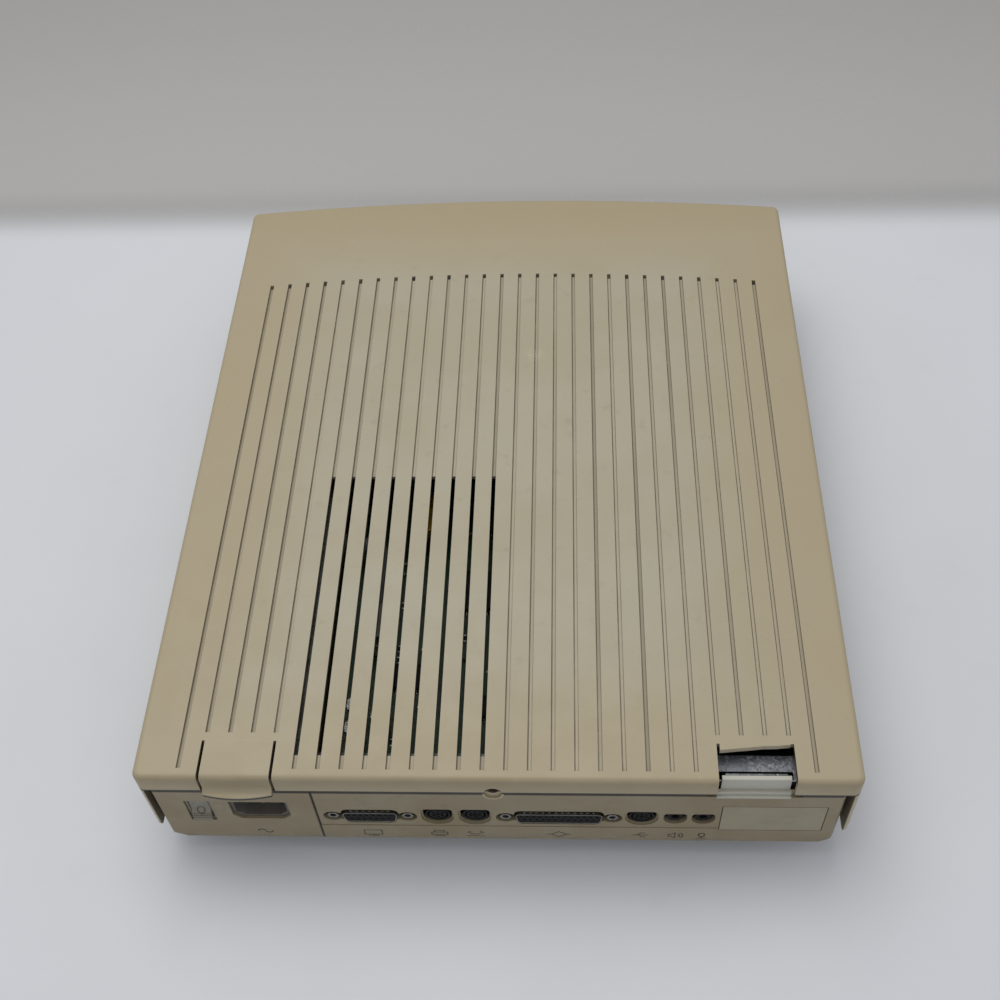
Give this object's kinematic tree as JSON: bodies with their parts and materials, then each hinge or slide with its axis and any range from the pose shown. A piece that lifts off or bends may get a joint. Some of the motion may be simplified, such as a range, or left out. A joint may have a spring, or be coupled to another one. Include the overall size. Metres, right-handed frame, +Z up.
{
  "type": "desktop home computer",
  "caption": "Flat desktop home computer case with a grooved lid, a bowed front and a connector wall, shown from behind, with its boards, drives, fan and power supply inside.",
  "frame": {"origin": "on the table, under the middle of the case's bounding box, at the bottom of the feet", "axes": "+Z up, -Y towards the bowed front with the disk slot, +Y towards the connector wall, +X to the user's right at the front, which is the left of the connector wall seen from behind"},
  "size_m": [0.31, 0.381, 0.0737],
  "materials": {
    "aged_beige_plastic": "satin",
    "grey_beige_plastic": "satin",
    "foot_rubber": "matt",
    "galvanised_sheet": "satin",
    "zinc_sheet": "satin",
    "plated_shell": "polished",
    "black_moulding": "satin",
    "white_moulding": "satin",
    "chip_resin": "matt",
    "green_board": "gloss",
    "plain_board": "satin",
    "grey_cable": "satin",
    "cell_sleeve": "gloss",
    "can_aluminium": "satin",
    "cast_aluminium": "cast",
    "dark_core": "matt",
    "cone_paper": "matt",
    "lamp_lens_plastic": "gloss",
    "machined_steel": "polished",
    "grey_moulding": "satin"
  },
  "bodies": {
    "base": {"base_shell": "grey_beige_plastic", "rubber_feet": "foot_rubber", "rear_shield": "galvanised_sheet", "lamp_lens": "lamp_lens_plastic", "psu_case": "zinc_sheet", "psu_cover": "zinc_sheet", "psu_rear_panel": "grey_beige_plastic", "power_inlet": "black_moulding", "inlet_blades": "machined_steel", "switch_frame": "grey_moulding", "psu_board": "plain_board", "psu_transformer": "dark_core", "supply_lead": "grey_cable", "logic_board": "green_board", "video_shell": "plated_shell", "video_contact_block": "black_moulding", "wide_shell": "plated_shell", "wide_contact_block": "black_moulding", "jackscrews": "machined_steel", "printer_port": "black_moulding", "modem_port": "black_moulding", "keyboard_port": "black_moulding", "audio_out_jack": "black_moulding", "audio_in_jack": "black_moulding", "processor": "chip_resin", "support_chips": "chip_resin", "program_chips": "chip_resin", "memory_sockets": "white_moulding", "memory_modules": "green_board", "expansion_socket": "white_moulding", "clock_battery": "cell_sleeve", "battery_holder": "black_moulding", "board_capacitors": "can_aluminium", "timing_crystal": "can_aluminium", "board_headers": "white_moulding", "fan_frame": "black_moulding", "centre_bracket": "galvanised_sheet", "speaker_frame": "machined_steel", "speaker_cone": "cone_paper", "disk_chassis": "zinc_sheet", "disk_cover": "zinc_sheet", "head_motor": "machined_steel", "disk_ribbon": "grey_cable", "hard_drive_body": "cast_aluminium", "hard_drive_board": "green_board", "hard_drive_sled": "galvanised_sheet", "hard_drive_ribbon": "grey_cable", "drive_power_lead": "grey_cable", "machine_screws": "machined_steel"},
    "lid": {"lid_shell": "aged_beige_plastic"},
    "latch": {"latch_tab": "aged_beige_plastic"},
    "cover": {"expansion_cover": "grey_beige_plastic"},
    "rocker": {"power_rocker": "grey_moulding"},
    "fan": {"fan_rotor": "black_moulding"},
    "tray": {"disk_tray": "zinc_sheet"},
    "slider": {"eject_slider": "zinc_sheet"},
    "spindle": {"disk_spindle": "machined_steel"},
    "carriage": {"head_carriage": "cast_aluminium"},
    "screw": {"lead_screw": "machined_steel"}
  },
  "joints": [
    {"name": "lid_swing", "type": "hinge", "parent": "base", "child": "lid", "pos_m": [0, -0.1907, 0.0497], "axis": [1, 0, 0], "range_deg": [0, 55]},
    {"name": "latch_tab_flex", "type": "hinge", "parent": "lid", "child": "latch", "pos_m": [0.1105, 0.1684, 0.0737], "axis": [1, 0, 0], "range_deg": [0, 6], "stiffness_Nm_per_rad": 1.7},
    {"name": "expansion_cover_pull", "type": "slide", "parent": "base", "child": "cover", "axis": [0, 1, 0], "range_m": [0, 0.02]},
    {"name": "power_rocker_tilt", "type": "hinge", "parent": "base", "child": "rocker", "pos_m": [0.1316, 0.1826, 0.0413], "axis": [1, 0, 0], "range_deg": [-18, 0]},
    {"name": "fan_spin", "type": "hinge", "parent": "base", "child": "fan", "pos_m": [0, -0.037, 0.0444], "axis": [0, 1, 0], "continuous": true},
    {"name": "eject_slider_slide", "type": "slide", "parent": "base", "child": "slider", "axis": [0, 1, 0], "range_m": [0, 0.008]},
    {"name": "disk_tray_drop", "type": "slide", "parent": "base", "child": "tray", "axis": [0, 0, -1], "range_m": [0, 0.005]},
    {"name": "disk_spindle_spin", "type": "hinge", "parent": "base", "child": "spindle", "pos_m": [0.083, -0.126, 0.025], "axis": [0, 0, 1], "continuous": true},
    {"name": "lead_screw_turn", "type": "hinge", "parent": "base", "child": "screw", "pos_m": [0.097, -0.079, 0.03], "axis": [0, 1, 0], "range_deg": [0, 2160]},
    {"name": "head_carriage_slide", "type": "slide", "parent": "base", "child": "carriage", "axis": [0, -1, 0], "range_m": [0, 0.018]}
  ],
  "couplings": [
    {"joint": "disk_tray_drop", "follows": "eject_slider_slide", "ratio": 0.625},
    {"joint": "lead_screw_turn", "follows": "head_carriage_slide", "rad_per_m": 2094.4}
  ]
}
